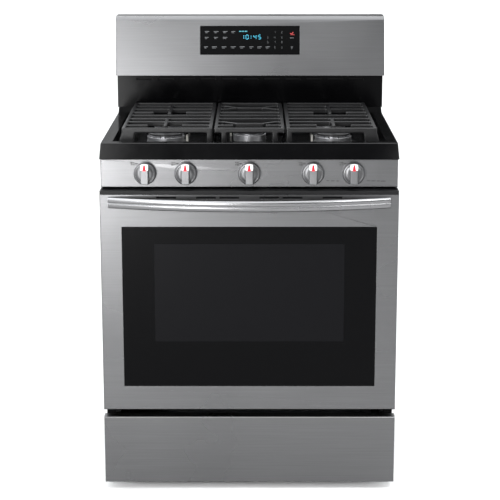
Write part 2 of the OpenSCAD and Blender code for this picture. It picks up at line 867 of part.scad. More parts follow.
module drawer_box() {
    y0 = door_y + drawer_fold - 4;
    y1 = y0 + drawer_box_d;
    color("gray") {
        difference() {
            block(-328, 328, y0 + 4, y1, 34, 164);
            block(-326.8, 326.8, y0 + 5.2, y1 - 1.2, 35.2, 165);
        }
        block(-370, 370, y0 + 2.5, y0 + 4, 26, 192);
        both_sides() {
            block(328, 330, -236, y1 - 20, 98.4, 121.6);
            block(330, 351, -236, y1 - 20, 98.4, 100);
            block(349.4, 351, -236, y1 - 20, 98.4, 121.6);
        }
    }
}

// ---------- door ----------

module hinge_slot() {
    for (s = [-1, 1]) {
        block(s * hinge_x - 6, s * hinge_x + 6, pivot_y - 11, door_back_y + 1, door_z - 1, pivot_z + 11);
    }
}

module door_skin() {
    y1 = door_back_y - 2.5;
    color("lightgray") difference() {
        run_x(-half_w, half_w, [[door_y, door_z + 2], [door_y + 2, door_z], [y1, door_z],
            [y1, door_top - 9], [door_y, door_top - 9]]);
        block(-half_w + sheet, half_w - sheet, door_y + sheet, y1 + 1, door_z + sheet, door_top);
        block(-window_w / 2, window_w / 2, door_y - 1, door_y + 3, window_z, window_z + window_h);
        for (x = [50.6, 109.4, 210]) for (s = [-1, 1]) {
            block(s * x - 25, s * x + 25, door_y - 1, door_y + 3, door_top - 20, door_top - 14);
        }
        hinge_slot();
    }
}

module door_top_cap() {
    color("black") difference() {
        block(-half_w + 0.5, half_w - 0.5, door_y + 0.5, door_back_y, door_top - 9, door_top);
        block(-half_w + 3, half_w - 3, door_y + 3, door_back_y - 3, door_top - 10, door_top - 3);
        for (x = [-320 : 40 : 320]) {
            block(x - 14, x + 14, door_back_y - 26, door_back_y - 20, door_top - 4, door_top + 1);
        }
    }
}

module door_glass_outer() {
    color("black") {
        block(-window_w / 2 + 0.3, window_w / 2 - 0.3, door_y + 0.4, door_y + sheet,
            window_z + 0.3, window_z + window_h - 0.3);
        block(-window_w / 2 - 12, window_w / 2 + 12, door_y + sheet, door_y + 5,
            window_z - 12, window_z + window_h + 12);
    }
}

module door_glass_inner() {
    color("gray") block(-265, 265, door_back_y - 7, door_back_y - 3, window_z + 32, window_z + 352);
}

module door_liner() {
    y1 = door_back_y;
    color("midnightblue") difference() {
        union() {
            block(-half_w + 2, half_w - 2, y1 - 2.5, y1, door_z + 1, door_top - 9);
            block(-282, 282, y1 - 8, y1 - 2.5, window_z + 18, window_z + 366);
        }
        block(-250, 250, y1 - 9, y1 + 1, window_z + 46, window_z + 338);
        block(-265.3, 265.3, y1 - 9, y1 - 3, window_z + 31.7, window_z + 352.3);
        hinge_slot();
    }
}

// Bowed bar: a flattened round section swept along an arc, cut flat where it meets the door
module door_handle() {
    bow = handle_proud - 9;
    radius = (handle_w * handle_w / 4 + bow * bow) / (2 * bow);
    t = 15;
    h = handle_h / 2;
    color("silver") intersection() {
        translate([0, -range_d / 2 + radius, handle_z]) rotate([0, 0, 180]) rotate_extrude($fn = 400)
            polygon([[radius - t, -h + 4], [radius - 5, -h], [radius - 1.2, -h + 5], [radius, -3],
                     [radius - 1.2, 0], [radius, 3], [radius - 1.2, h - 4], [radius - 5, h],
                     [radius - t, h - 4]]);
        block(-handle_w / 2, handle_w / 2, -range_d / 2 - 1, door_y, handle_z - 20, handle_z + 20);
    }
}

// Bracket, pivot pin and reinforcing plate inside the door, one pair for each side
module door_hinges() {
    color("gray") for (s = [-1, 1]) {
        for (d = [-1, 1]) {
            x = s * hinge_x + d * 10;
            block(x - 1.5, x + 1.5, door_y + 7, door_back_y - 2.5, door_z + 4, door_z + 80);
        }
        rod_x(s * hinge_x - 12, s * hinge_x + 12, pivot_y, pivot_z, pin_r);
    }
}

// The arm that leaves the front frame and carries the door's pivot pin
module hinge_arms() {
    color("silver") for (s = [-1, 1]) {
        difference() {
            union() {
                block(s * hinge_x - 3, s * hinge_x + 3, pivot_y, frame_y + 90, pivot_z - 7, pivot_z + 7);
                rod_x(s * hinge_x - 3, s * hinge_x + 3, pivot_y, pivot_z, 7);
            }
            rod_x(s * hinge_x - 4, s * hinge_x + 4, pivot_y, pivot_z, pin_r + stem_gap);
        }
        difference() {
            block(s * hinge_x - 7, s * hinge_x + 7, frame_y + 2, frame_y + 100, pivot_z - 13, pivot_z + 13);
            block(s * hinge_x - 5, s * hinge_x + 5, frame_y + 1, frame_y + 90, pivot_z - 11, pivot_z + 11);
        }
    }
}

// Pan-head screws: rear panel and the ends of the backguard's rear cover
module screws() {
    color("silver") {
        for (x = [-350, -175, 0, 175, 350]) for (z = [250, 560, 860]) rear_screw(x, back_y, z);
        for (x = [-360, -180, 0, 180, 360]) for (z = [920, 1170]) rear_screw(x, guard_back_y + 1.5, z);
    }
}

module rear_screw(x, y, z) {
    rod_y(y, y + 1.8, x, z, 4);
}

module valve_stem_1() { valve_stem(0); }
module valve_stem_2() { valve_stem(1); }
module valve_stem_3() { valve_stem(2); }
module valve_stem_4() { valve_stem(3); }
module valve_stem_5() { valve_stem(4); }
module knob_1() { knob(0); }
module knob_2() { knob(1); }
module knob_3() { knob(2); }
module knob_4() { knob(3); }
module knob_5() { knob(4); }

base_frame();
levelling_feet();
left_side_panel();
right_side_panel();
rear_panel();
front_frame();
oven_liner();
insulation();
oven_floor();
bake_burner();
broil_burner();
rack_guides();
oven_rack_upper();
oven_rack_lower();
lamp_lens();
oven_lamp();
fan_cover();
fan_blade();
fan_motor();
door_gasket();
control_panel();
gas_manifold();
gas_valves();
knob_bezels();
cooktop();
burner_heads();
burner_caps();
igniters();
burner_tubes();
grate_left();
grate_centre();
grate_right();
backguard_panel();
backguard_riser();
backguard_rear_cover();
touch_glass();
control_board();
gas_regulator();
drawer_rails();
hinge_arms();
screws();
door_skin();
door_glass_outer();
door_glass_inner();
door_liner();
door_top_cap();
door_handle();
door_hinges();
drawer_front();
drawer_box();
valve_stem_1();
valve_stem_2();
valve_stem_3();
valve_stem_4();
valve_stem_5();
knob_1();
knob_2();
knob_3();
knob_4();
knob_5();
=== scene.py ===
"""Looks for a freestanding gas range: stainless front, black cooktop, cast grates, knobs and oven.

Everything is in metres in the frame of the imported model: +X right, front to -Y, +Z up.
"""
import json
import math
import random

import bpy
import bmesh
from mathutils import Matrix, Vector


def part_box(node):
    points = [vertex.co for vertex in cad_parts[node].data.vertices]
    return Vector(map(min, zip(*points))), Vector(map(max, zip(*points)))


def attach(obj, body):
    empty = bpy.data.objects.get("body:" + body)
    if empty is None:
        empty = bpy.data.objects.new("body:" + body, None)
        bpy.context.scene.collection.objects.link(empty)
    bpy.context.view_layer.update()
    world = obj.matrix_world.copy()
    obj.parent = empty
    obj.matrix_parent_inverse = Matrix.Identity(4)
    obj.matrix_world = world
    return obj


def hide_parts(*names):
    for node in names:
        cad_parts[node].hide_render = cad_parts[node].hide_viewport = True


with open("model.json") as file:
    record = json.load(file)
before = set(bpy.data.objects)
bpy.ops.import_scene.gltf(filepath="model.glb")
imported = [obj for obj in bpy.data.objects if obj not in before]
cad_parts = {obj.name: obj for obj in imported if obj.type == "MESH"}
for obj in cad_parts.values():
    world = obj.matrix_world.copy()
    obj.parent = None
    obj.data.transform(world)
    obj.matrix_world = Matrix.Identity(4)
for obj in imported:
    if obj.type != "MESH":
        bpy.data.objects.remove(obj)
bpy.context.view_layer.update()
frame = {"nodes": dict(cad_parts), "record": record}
NODES = frame["nodes"]
BODY_OF = {node: body for body, members in frame["record"]["behaviour"]["bodies"].items()
           for node in members}
SLOT_OF = {part["node"]: part["material_slot"] for part in frame["record"]["subparts"]}
MM = 0.001
random.seed(7)


# ------------------------------------------------------------------ camera

CAMERA_PLACE = (0.017, -4.208, 1.570)
LOOK_DOWN = 12.67   # degrees below level


def add_camera():
    """The front view: in front, a little above the backguard, looking slightly down."""
    data = bpy.data.cameras.new("camera")
    data.sensor_width = 36
    data.lens = 113.6
    data.shift_x = -0.012
    data.shift_y = -0.035
    data.clip_end = 200
    camera = bpy.data.objects.new("camera", data)
    bpy.context.scene.collection.objects.link(camera)
    camera.location = CAMERA_PLACE
    camera.rotation_euler = (math.radians(90 - LOOK_DOWN), 0, 0)
    bpy.context.scene.camera = camera


# ------------------------------------------------------------------ shader groups

def new_group(name, inputs, outputs):
    """An empty shader node group with named float sockets, its input node and its output node."""
    group = bpy.data.node_groups.new(name, "ShaderNodeTree")
    for label, default in inputs:
        socket = group.interface.new_socket(label, in_out="INPUT", socket_type="NodeSocketFloat")
        socket.default_value = default
    for label in outputs:
        group.interface.new_socket(label, in_out="OUTPUT", socket_type="NodeSocketFloat")
    return group, group.nodes.new("NodeGroupInput"), group.nodes.new("NodeGroupOutput")


def maths(tree, kind, a, b=None, clamp=False):
    """A Math node. a and b are numbers or sockets."""
    node = tree.nodes.new("ShaderNodeMath")
    node.operation = kind
    node.use_clamp = clamp
    for socket, value in zip(node.inputs, (a, b)):
        if value is None:
            continue
        if isinstance(value, (int, float)):
            socket.default_value = value
        else:
            tree.links.new(value, socket)
    return node.outputs[0]


def stretched_noise(tree, scale, detail=4.0, rough=0.6):
    """Noise on Object coordinates with its own scale along X, Y and Z."""
    where = tree.nodes.new("ShaderNodeTexCoord")
    mapping = tree.nodes.new("ShaderNodeMapping")
    mapping.inputs["Scale"].default_value = scale
    noise = tree.nodes.new("ShaderNodeTexNoise")
    noise.inputs["Scale"].default_value = 1.0
    noise.inputs["Detail"].default_value = detail
    noise.inputs["Roughness"].default_value = rough
    tree.links.new(where.outputs["Object"], mapping.inputs["Vector"])
    tree.links.new(mapping.outputs["Vector"], noise.inputs["Vector"])
    return noise.outputs["Fac"]


def make_grain_group():
    """Brushed grain along X: fine scratches, broader streaks and soft handling marks."""
    group, inputs, out = new_group("brushed_grain", [("Fine", 1.0), ("Streak", 1.0)],
                                   ["Shade", "Scratch", "Marks"])
    fine = stretched_noise(group, (6, 900, 900), 2)
    streak = stretched_noise(group, (1.4, 160, 160), 5, 0.7)
    marks = stretched_noise(group, (3, 3, 3), 3)
    fine_part = maths(group, "MULTIPLY", maths(group, "SUBTRACT", fine, 0.5), inputs.outputs["Fine"])
    streak_part = maths(group, "MULTIPLY", maths(group, "SUBTRACT", streak, 0.5),
                        inputs.outputs["Streak"])
    shade = maths(group, "ADD", maths(group, "ADD", fine_part, streak_part), 0.5, clamp=True)
    group.links.new(shade, out.inputs["Shade"])
    group.links.new(fine, out.inputs["Scratch"])
    group.links.new(marks, out.inputs["Marks"])
    return group


def make_pebble_group():
    """Fine pebbling of enamel, cast iron and moulded plastic, with broad uneven patches."""
    group, inputs, out = new_group("pebble", [("Size", 900.0)], ["Grain", "Patches"])
    where = group.nodes.new("ShaderNodeTexCoord")
    noise = group.nodes.new("ShaderNodeTexNoise")
    noise.inputs["Detail"].default_value = 3
    group.links.new(where.outputs["Object"], noise.inputs["Vector"])
    group.links.new(inputs.outputs["Size"], noise.inputs["Scale"])
    patches = stretched_noise(group, (14, 14, 14), 4)
    group.links.new(noise.outputs["Fac"], out.inputs["Grain"])
    group.links.new(patches, out.inputs["Patches"])
    return group


def make_edge_sheen_and_wear_group():
    """1 on sharp outer edges, 0 on flats, broken up by noise. It masks a painted highlight along the
    edges, which stands also for rubbing wear.
    """
    group, inputs, out = new_group("edge_sheen_and_wear", [("Reach", 1.0)], ["Edge"])
    geometry = group.nodes.new("ShaderNodeNewGeometry")
    broken = stretched_noise(group, (60, 60, 60), 5)
    past_flat = maths(group, "SUBTRACT", geometry.outputs["Pointiness"], 0.52)
    sharp = maths(group, "MULTIPLY", past_flat, 14)
    patchy = maths(group, "MULTIPLY", sharp, broken)
    edge = maths(group, "MULTIPLY", patchy, inputs.outputs["Reach"], clamp=True)
    group.links.new(edge, out.inputs["Edge"])
    return group


GRAIN = make_grain_group()
PEBBLE = make_pebble_group()
EDGE_SHEEN_AND_WEAR = make_edge_sheen_and_wear_group()


# ------------------------------------------------------------------ materials

class Finish:
    """A material with one Principled shader, and short calls to wire its pattern."""

    def __init__(self, name, colour, metallic=0.0, roughness=0.5, **sockets):
        self.material = bpy.data.materials.new(name)
        self.material.use_nodes = True
        self.tree = self.material.node_tree
        self.shader = self.tree.nodes["Principled BSDF"]
        self.shader.inputs["Base Color"].default_value = (*colour, 1)
        self.shader.inputs["Metallic"].default_value = metallic
        self.shader.inputs["Roughness"].default_value = roughness
        for label, value in sockets.items():
            self.shader.inputs[label.replace("_", " ")].default_value = value
        self.material.diffuse_color = (*colour, 1)

    def group(self, group, **values):
        """Places a shader group in the material, with its values, and gives its outputs."""
        node = self.tree.nodes.new("ShaderNodeGroup")
        node.node_tree = group
        for label, value in values.items():
            node.inputs[label].default_value = value
        return node.outputs

    def texture(self, kind, **values):
        """A texture node that reads Object coordinates."""
        where = self.tree.nodes.new("ShaderNodeTexCoord")
        node = self.tree.nodes.new(kind)
        for label, value in values.items():
            node.inputs[label].default_value = value
        self.tree.links.new(where.outputs["Object"], node.inputs["Vector"])
        return node

    def colours(self, factor, dark, light, low=0.0, high=1.0):
        """Base colour from dark to light as factor goes from low to high."""
        ramp = self.tree.nodes.new("ShaderNodeValToRGB")
        ramp.color_ramp.elements[0].position = low
        ramp.color_ramp.elements[0].color = (*dark, 1)
        ramp.color_ramp.elements[1].position = high
        ramp.color_ramp.elements[1].color = (*light, 1)
        self.tree.links.new(factor, ramp.inputs["Fac"])
        self.tree.links.new(ramp.outputs["Color"], self.shader.inputs["Base Color"])
        return ramp.outputs["Color"]

    def overlay(self, mask, colour):
        """Lays one more colour over the base colour where mask is 1."""
        mix = self.tree.nodes.new("ShaderNodeMix")
        mix.data_type = "RGBA"
        base = self.shader.inputs["Base Color"]
        if base.is_linked:
            self.tree.links.new(base.links[0].from_socket, mix.inputs["A"])
        else:
            mix.inputs["A"].default_value = base.default_value
        mix.inputs["B"].default_value = (*colour, 1)
        self.tree.links.new(mask, mix.inputs["Factor"])
        self.tree.links.new(mix.outputs["Result"], base)

    def roughness(self, factor, low, high):
        """Roughness from low to high over the middle of factor's range."""
        span = self.tree.nodes.new("ShaderNodeMapRange")
        span.inputs["From Min"].default_value = 0.3
        span.inputs["From Max"].default_value = 0.7
        span.inputs["To Min"].default_value = low
        span.inputs["To Max"].default_value = high
        self.tree.links.new(factor, span.inputs["Value"])
        self.tree.links.new(span.outputs["Result"], self.shader.inputs["Roughness"])

    def bump(self, height, strength, distance=0.0003):
        """Fine relief in the shading. distance is its full height in metres."""
        bump = self.tree.nodes.new("ShaderNodeBump")
        bump.inputs["Strength"].default_value = strength
        bump.inputs["Distance"].default_value = distance
        self.tree.links.new(height, bump.inputs["Height"])
        self.tree.links.new(bump.outputs["Normal"], self.shader.inputs["Normal"])


def grey(value):
    """A neutral grey with a trace of blue, as steel and zinc have."""
    return (value, value, value * 1.02)


def shade(colour, factor):
    """The same hue, lighter or darker, never past white."""
    return tuple(min(1, c * factor) for c in colour)


def brushed_steel(name, dark, light, rough_low, rough_high, streak=0.18):
    """Sheet steel with its grain along X. The grain is in its colour, sheen and bump."""
    finish = Finish(name, grey(light), metallic=1.0)
    grain = finish.group(GRAIN, Fine=1.0, Streak=streak)
    finish.colours(grain["Shade"], grey(dark), grey(light), 0.25, 0.75)
    finish.roughness(grain["Marks"], rough_low, rough_high)
    finish.bump(grain["Scratch"], 0.02, 0.0001)
    return finish.material


def enamel(name, colour, rough_low, rough_high, speckle=None):
    """Fired enamel: glossy, very slightly pebbled, and speckled if a second colour is given."""
    finish = Finish(name, colour, roughness=rough_low, Specular_IOR_Level=0.06)
    pebble = finish.group(PEBBLE, Size=260)
    finish.colours(pebble["Patches"], shade(colour, 0.7), shade(colour, 1.3))
    finish.roughness(pebble["Patches"], rough_low, rough_high)
    finish.bump(pebble["Grain"], 0.05, 0.0002)
    if speckle:
        cells = finish.texture("ShaderNodeTexVoronoi", Scale=320)
        spots = maths(finish.tree, "LESS_THAN", cells.outputs["Distance"], 0.16)
        finish.overlay(spots, speckle)
    return finish.material


def cast(name, colour, rough_low, rough_high, strength, sheen_and_wear=None):
    """Cast iron and cast alloy: a fine sandy skin, patchy sheen, and edges painted a little lighter, a
    painted highlight that stands also for rubbing wear.
    """
    finish = Finish(name, colour, roughness=rough_low, Specular_IOR_Level=0.18)
    pebble = finish.group(PEBBLE, Size=1100)
    finish.colours(pebble["Patches"], shade(colour, 0.75), shade(colour, 1.35))
    finish.roughness(pebble["Patches"], rough_low, rough_high)
    finish.bump(pebble["Grain"], strength, 0.0003)
    # Edges painted lighter: a painted highlight, with some rubbing wear
    if sheen_and_wear:
        finish.overlay(finish.group(EDGE_SHEEN_AND_WEAR, Reach=0.5)["Edge"], sheen_and_wear)
    return finish.material


def alloy(name, colour, rough_low, rough_high, grain_size=900, strength=0.1):
    """Plain or plated metal with a fine satin grain and uneven sheen."""
    finish = Finish(name, colour, metallic=1.0)
    pebble = finish.group(PEBBLE, Size=grain_size)
    finish.colours(pebble["Patches"], shade(colour, 0.8), shade(colour, 1.15))
    finish.roughness(pebble["Patches"], rough_low, rough_high)
    finish.bump(pebble["Grain"], strength, 0.0002)
    return finish.material


def galvanised(name):
    """Zinc spangle: flat crystals of slightly different greys."""
    finish = Finish(name, grey(0.2), metallic=1.0, roughness=0.42)
    cells = finish.texture("ShaderNodeTexVoronoi", Scale=90)
    split = finish.tree.nodes.new("ShaderNodeSeparateColor")
    finish.tree.links.new(cells.outputs["Color"], split.inputs["Color"])
    finish.colours(split.outputs["Red"], grey(0.17), grey(0.25))
    finish.roughness(split.outputs["Green"], 0.34, 0.5)
    finish.bump(split.outputs["Red"], 0.05, 0.0002)
    return finish.material


def moulded(name, colour, rough_low=0.35, rough_high=0.5, strength=0.12, size=1500, gloss=0.5):
    """Plastic, rubber, ceramic, paint or print: one colour with patches and a pebbled skin."""
    finish = Finish(name, colour, roughness=rough_low, Specular_IOR_Level=gloss)
    pebble = finish.group(PEBBLE, Size=size)
    finish.colours(pebble["Patches"], shade(colour, 0.85), shade(colour, 1.15))
    finish.roughness(pebble["Patches"], rough_low, rough_high)
    finish.bump(pebble["Grain"], strength, 0.0002)
    return finish.material


def box_mask(tree, x_half, z_low, z_high, soft=0.0008):
    """1 inside a rectangle of the front, in Object coordinates."""
    where = tree.nodes.new("ShaderNodeTexCoord")
    split = tree.nodes.new("ShaderNodeSeparateXYZ")
    tree.links.new(where.outputs["Object"], split.inputs["Vector"])
    across = maths(tree, "SUBTRACT", x_half, maths(tree, "ABSOLUTE", split.outputs["X"]))
    z_mid, z_half = (z_low + z_high) / 2, (z_high - z_low) / 2
    from_middle = maths(tree, "ABSOLUTE", maths(tree, "SUBTRACT", split.outputs["Z"], z_mid))
    up = maths(tree, "SUBTRACT", z_half, from_middle)
    inside = maths(tree, "MINIMUM", across, up)
    return maths(tree, "ADD", maths(tree, "MULTIPLY", inside, 0.5 / soft), 0.5, clamp=True)


FIELD_HALF = 0.242      # half the width of the window's clearer field
FIELD_TOP = 0.0572      # from the glass's top edge down to the field's top
FIELD_BOTTOM = 0.3142   # from the glass's top edge down to the field's bottom


def oven_window(name):
    """Black printed border, and a dotted, slightly clearer field in the middle."""
    finish = Finish(name, (0.0008, 0.0008, 0.001), roughness=0.2, Specular_IOR_Level=0.045)
    glass_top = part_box("door_glass_outer")[1].z
    field = box_mask(finish.tree, FIELD_HALF, glass_top - FIELD_BOTTOM, glass_top - FIELD_TOP)
    dots = finish.texture("ShaderNodeTexVoronoi", Scale=420, Randomness=0)
    between_dots = maths(finish.tree, "GREATER_THAN", dots.outputs["Distance"], 0.3)
    dotted = maths(finish.tree, "MULTIPLY", field, between_dots)
    finish.overlay(dotted, (0.0026, 0.0026, 0.0031))
    span = finish.tree.nodes.new("ShaderNodeMapRange")
    span.inputs["To Min"].default_value = 0.2
    span.inputs["To Max"].default_value = 0.27
    finish.tree.links.new(field, span.inputs["Value"])
    finish.tree.links.new(span.outputs["Result"], finish.shader.inputs["Roughness"])
    return finish.material


def clear_glass(name, tint, rough=0.02):
    """See-through glass with a faint ripple."""
    finish = Finish(name, tint, roughness=rough, Transmission_Weight=1.0, IOR=1.5)
    pebble = finish.group(PEBBLE, Size=40)
    finish.bump(pebble["Grain"], 0.01, 0.0002)
    return finish.material


def glow(name, colour, strength):
    """A lit mark behind the glass, a little uneven as a real display is."""
    finish = Finish(name, colour, roughness=0.4, Emission_Color=(*colour, 1), Emission_Strength=strength)
    pebble = finish.group(PEBBLE, Size=400)
    uneven = finish.colours(pebble["Patches"], shade(colour, 0.8), colour)
    finish.tree.links.new(uneven, finish.shader.inputs["Emission Color"])
    return finish.material


def woven(name, dark, light, scale):
    """Braided rope or blanket fibre."""
    finish = Finish(name, dark, roughness=0.9, Sheen_Weight=0.3)
    wave = finish.texture("ShaderNodeTexWave", Scale=scale, Distortion=3)
    wave.bands_direction = "DIAGONAL"
    finish.colours(wave.outputs["Fac"], dark, light)
    finish.bump(wave.outputs["Fac"], 0.6, 0.0006)
    return finish.material


def circuit_board(name):
    """Green board with rows of soldered pads."""
    finish = Finish(name, (0.01, 0.12, 0.05), roughness=0.35)
    brick = finish.texture("ShaderNodeTexBrick", Scale=60)
    finish.colours(brick.outputs["Fac"], (0.01, 0.12, 0.05), (0.25, 0.32, 0.2))
    return finish.material


STAINLESS = brushed_steel("stainless_brushed", 0.088, 0.106, 0.25, 0.32, 0.1)
HANDLE_STEEL = brushed_steel("handle_steel", 0.15, 0.18, 0.24, 0.3, 0.1)
KNOB_SILVER = alloy("knob_silver", (0.08, 0.08, 0.082), 0.3, 0.38, 500, 0.04)
KNOB_FACE = alloy("knob_face", (0.12, 0.12, 0.123), 0.3, 0.38, 500, 0.04)
# The knob tip's white is a painted highlight: the light caught by the bar's upward-facing top
KNOB_TIP_HIGHLIGHT = moulded("knob_tip_painted_highlight", (0.85, 0.85, 0.85), 0.25, 0.35, 0.03)
POINTER_RED = moulded("pointer_red", (0.72, 0.004, 0.014), 0.35, 0.45, 0.03, 500, gloss=0.2)
BEZEL = alloy("bezel_dark", (0.10, 0.10, 0.105), 0.25, 0.35, 900, 0.06)
BLACK_ENAMEL = enamel("black_enamel", (0.001, 0.001, 0.0012), 0.10, 0.18)
OVEN_ENAMEL = enamel("oven_enamel", (0.02, 0.023, 0.032), 0.22, 0.34, (0.32, 0.34, 0.38))
# The lighter edge colour is a painted highlight on the bars' edges, with some rubbing wear
CAST_IRON = cast("grate_iron", (0.004, 0.004, 0.0043), 0.3, 0.42, 0.3, (0.11, 0.11, 0.11))
CAP_ENAMEL = cast("cap_enamel", (0.02, 0.02, 0.021), 0.28, 0.4, 0.12)
BURNER_ALLOY = alloy("burner_alloy", (0.3, 0.3, 0.31), 0.3, 0.44)
WINDOW = oven_window("oven_window")
INNER_GLASS = clear_glass("inner_glass", (0.8, 0.85, 0.83))
LENS = clear_glass("lamp_lens_glass", (0.95, 0.93, 0.88), 0.2)
PANEL_GLASS = moulded("panel_glass", (0.001, 0.001, 0.0012), 0.05, 0.09, 0.0, 40, gloss=0.12)
SIDE_PAINT = moulded("side_paint", (0.05, 0.05, 0.053), 0.3, 0.42, 0.14, 700)
ZINC_SHEET = galvanised("zinc_sheet")
CHASSIS_PAINT = moulded("chassis_paint", (0.003, 0.003, 0.0033), 0.4, 0.55, 0.15, 500, gloss=0.05)
CHROME_WIRE = alloy("chrome_wire", (0.42, 0.42, 0.43), 0.14, 0.24, 300, 0.03)
ZINC = alloy("zinc_plate", (0.3, 0.31, 0.32), 0.3, 0.42)
ALUMINISED = alloy("aluminised", (0.16, 0.163, 0.17), 0.4, 0.5, 60, 0.02)
BRASS = alloy("brass", (0.65, 0.46, 0.2), 0.25, 0.4)
GLASS_WOOL = woven("glass_wool", (0.5, 0.42, 0.2), (0.8, 0.72, 0.45), 120)
ROPE_SEAL = woven("rope_seal", (0.02, 0.02, 0.022), (0.12, 0.12, 0.12), 260)
BLACK_PLASTIC = moulded("black_plastic", (0.004, 0.004, 0.0044), gloss=0.12)
CERAMIC = moulded("white_ceramic", (0.4, 0.39, 0.36), 0.25, 0.4, 0.05)
RUBBER = moulded("black_rubber", (0.018, 0.018, 0.018), 0.6, 0.8, 0.2, 800)
BOARD = circuit_board("circuit_board")
MOTOR_STEEL = alloy("motor_steel", (0.3, 0.3, 0.32), 0.3, 0.45)
DARK_PRINT = moulded("dark_print", (0.012, 0.012, 0.013), 0.4, 0.5, 0.02)
PALE_PRINT = moulded("pale_print", (0.08, 0.083, 0.088), 0.4, 0.5, 0.02)
CYAN_LIGHT = glow("cyan_light", (0.03, 0.33, 0.46), 0.75)
CYAN_DIM = glow("cyan_dim", (0.02, 0.18, 0.22), 0.4)
RED_LIGHT = glow("red_light", (0.3, 0.012, 0.012), 0.25)

FINISH_OF_SLOT = {
    "stainless": STAINLESS, "handle_metal": HANDLE_STEEL, "knob_metal": KNOB_SILVER,
    "bezel_dark": BEZEL, "black_enamel": BLACK_ENAMEL, "speckled_enamel": OVEN_ENAMEL,
    "cast_iron": CAST_IRON, "burner_cap": CAP_ENAMEL, "burner_alloy": BURNER_ALLOY,
    "black_glass": WINDOW, "clear_glass": INNER_GLASS, "lens_glass": LENS,
    "panel_glass": PANEL_GLASS, "side_paint": SIDE_PAINT, "galvanised": ZINC_SHEET,
    "chassis_paint": CHASSIS_PAINT, "chrome_wire": CHROME_WIRE, "zinc_steel": ZINC,
    "aluminised": ALUMINISED, "brass": BRASS, "wool": GLASS_WOOL, "seal": ROPE_SEAL,
    "black_plastic": BLACK_PLASTIC, "white_ceramic": CERAMIC, "foot_rubber": RUBBER,
    "board_green": BOARD, "motor_steel": MOTOR_STEEL, "drawer_metal": ALUMINISED,
}


# ------------------------------------------------------------------ modelling helpers

def active(obj):
    """Selects obj alone and makes it active."""
    if bpy.context.object and bpy.context.object.mode != "OBJECT":
        bpy.ops.object.mode_set(mode="OBJECT")
    bpy.ops.object.select_all(action="DESELECT")
    obj.select_set(True)
    bpy.context.view_layer.objects.active = obj
    return obj


def settle(obj):
    """Puts the object's place, turn and size into its mesh."""
    active(obj)
    bpy.ops.object.transform_apply(location=True, rotation=True, scale=True)
    return obj


def apply_modifier(obj, kind, **values):
    """Adds a modifier with the given settings and applies it."""
    active(obj)
    modifier = obj.modifiers.new(kind.lower(), kind)
    for label, value in values.items():
        setattr(modifier, label, value)
    bpy.ops.object.modifier_apply(modifier=modifier.name)
    return obj


def round_edges(obj, width, segments=2, angle=35):
    """Rounds every edge sharper than angle and notes which faces stay flat."""
    return apply_modifier(obj, "BEVEL", width=width, segments=segments, limit_method="ANGLE",
                          angle_limit=math.radians(angle), face_strength_mode="FSTR_AFFECTED",
                          use_clamp_overlap=False, miter_outer="MITER_ARC")


def smooth(obj, angle=40):
    """Smooth shading that leaves the flats between rounded edges truly flat."""
    active(obj)
    bpy.ops.object.shade_smooth_by_angle(angle=math.radians(angle))
    return apply_modifier(obj, "WEIGHTED_NORMAL", keep_sharp=True, use_face_influence=True, weight=100)


def finished(obj, name, material, body):
    """Names a finished piece, gives it its material and puts it on its body."""
    obj.name = name
    obj.data.name = name
    obj.data.materials.clear()
    obj.data.materials.append(material)
    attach(obj, body)
    return obj


def new_box(low, high):
    """A cube primitive between two corners."""
    low, high = Vector(low), Vector(high)
    bpy.ops.mesh.primitive_cube_add(size=1, location=(low + high) / 2)
    obj = bpy.context.object
    obj.scale = high - low
    return settle(obj)


def new_rod(start, end, radius, sides=24):
    """A cylinder primitive between two points."""
    start, end = Vector(start), Vector(end)
    bpy.ops.mesh.primitive_cylinder_add(vertices=sides, radius=radius, depth=(end - start).length,
                                        location=(start + end) / 2)
    obj = bpy.context.object
    obj.rotation_mode = "QUATERNION"
    obj.rotation_quaternion = (end - start).to_track_quat("Z", "Y")
    return settle(obj)


def joined(parts):
    """Joins separate meshes into the first one."""
    bpy.ops.object.select_all(action="DESELECT")
    for part in parts:
        part.select_set(True)
    bpy.context.view_layer.objects.active = parts[0]
    bpy.ops.object.join()
    return bpy.context.object


def pick_faces(obj, test):
    """Edit mode with only the faces selected whose centre and normal pass the test."""
    active(obj)
    bpy.ops.object.mode_set(mode="EDIT")
    bpy.ops.mesh.select_mode(type="FACE")
    bpy.ops.mesh.select_all(action="DESELECT")
    mesh = bmesh.from_edit_mesh(obj.data)
    for face in mesh.faces:
        face.select = test(face.calc_center_median(), face.normal)
    mesh.select_flush_mode()
    bmesh.update_edit_mesh(obj.data)


def leave_edit():
    """Back to object mode, once a mesh is shaped."""
    bpy.ops.object.mode_set(mode="OBJECT")


def outline(points, fill):
    """A ring of vertices put on the given points, filled or open."""
    bpy.ops.mesh.primitive_circle_add(vertices=len(points), radius=0.01, fill_type=fill)
    shape = settle(bpy.context.object)
    for vertex, point in zip(shape.data.vertices, points):
        vertex.co = point
    return shape


def spun(shape, steps, angle, centre):
    """Spins an outline about an upright axis through centre into a closed solid."""
    active(shape)
    bpy.ops.object.mode_set(mode="EDIT")
    bpy.ops.mesh.select_all(action="SELECT")
    bpy.ops.mesh.spin(steps=steps, angle=angle, center=centre, axis=(0, 0, 1))
    bpy.ops.mesh.select_all(action="SELECT")
    bpy.ops.mesh.remove_doubles(threshold=0.00001)
    bpy.ops.mesh.normals_make_consistent(inside=False)
    leave_edit()
    return shape


def merged_copy(node):
    """A free copy of a CAD node with its triangles merged into one mesh."""
    new = NODES[node].copy()
    new.data = NODES[node].data.copy()
    for key in list(new.keys()):
        del new[key]
    new.parent = None
    bpy.context.scene.collection.objects.link(new)
    active(new)
    bpy.ops.object.mode_set(mode="EDIT")
    bpy.ops.mesh.select_all(action="SELECT")
    bpy.ops.mesh.remove_doubles(threshold=0.00002)
    leave_edit()
    return new


